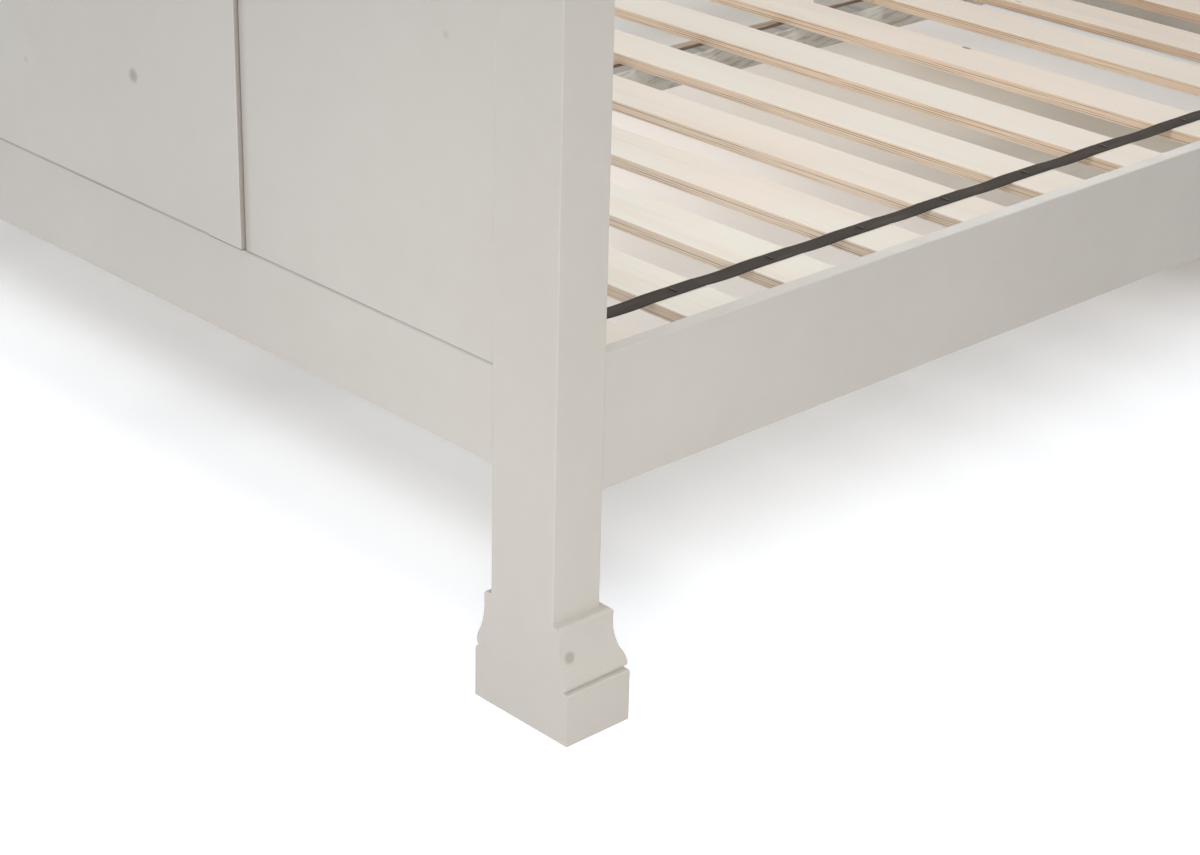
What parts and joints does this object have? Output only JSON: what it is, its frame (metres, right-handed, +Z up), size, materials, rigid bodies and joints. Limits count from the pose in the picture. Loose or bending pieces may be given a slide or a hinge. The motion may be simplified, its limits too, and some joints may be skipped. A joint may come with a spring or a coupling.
{
  "type": "bed frame",
  "caption": "Painted wooden bed frame with a tall panelled headboard, low footboard, moulded feet, side rails and slats on a centre rail.",
  "frame": {"origin": "on the floor, in the middle of the whole frame", "axes": "+Y from the headboard to the footboard, +X to the right seen from behind the headboard, +Z up"},
  "size_m": [1.6, 2.181, 1.18],
  "materials": {
    "grey_paint": "satin warm pale grey paint on timber and board",
    "plywood": "raw pale plywood with layered edges",
    "timber": "raw softwood, planed",
    "webbing": "woven charcoal tape",
    "zinc_steel": "zinc plated",
    "nylon": "moulded dark nylon",
    "beech": "raw fluted beech",
    "filler": "painted-over wood filler"
  },
  "bodies": {
    "root": {"bolt_inserts": "zinc_steel", "bracket_screws": "zinc_steel", "centre_rail": "timber", "corner_brackets": "zinc_steel", "filler_plugs": "filler", "floor_glides": "nylon", "footboard_bottom_rail": "grey_paint", "footboard_cap": "grey_paint", "footboard_foot_left": "grey_paint", "footboard_foot_right": "grey_paint", "footboard_muntin_left": "grey_paint", "footboard_muntin_right": "grey_paint", "footboard_panel": "grey_paint", "footboard_post_left": "grey_paint", "footboard_post_right": "grey_paint", "footboard_top_rail": "grey_paint", "frame_bolts": "zinc_steel", "frame_dowels": "beech", "hanger_foot": "zinc_steel", "hanger_head": "zinc_steel", "headboard_batten": "timber", "headboard_bottom_rail": "grey_paint", "headboard_cap": "grey_paint", "headboard_foot_left": "grey_paint", "headboard_foot_right": "grey_paint", "headboard_lock_rail": "grey_paint", "headboard_muntin_left": "grey_paint", "headboard_muntin_right": "grey_paint", "headboard_panel_centre": "grey_paint", "headboard_panel_left": "grey_paint", "headboard_panel_right": "grey_paint", "headboard_post_left": "grey_paint", "headboard_post_right": "grey_paint", "headboard_top_rail": "grey_paint", "side_rail_left": "grey_paint", "side_rail_right": "grey_paint", "slat_01": "plywood", "slat_02": "plywood", "slat_03": "plywood", "slat_04": "plywood", "slat_05": "plywood", "slat_06": "plywood", "slat_07": "plywood", "slat_08": "plywood", "slat_09": "plywood", "slat_10": "plywood", "slat_11": "plywood", "slat_12": "plywood", "slat_13": "plywood", "slat_14": "plywood", "slat_ledge_left": "timber", "slat_ledge_right": "timber", "slat_tape_left": "webbing", "slat_tape_right": "webbing", "tape_staples": "zinc_steel", "wood_screws": "zinc_steel"}
  },
  "joints": []
}
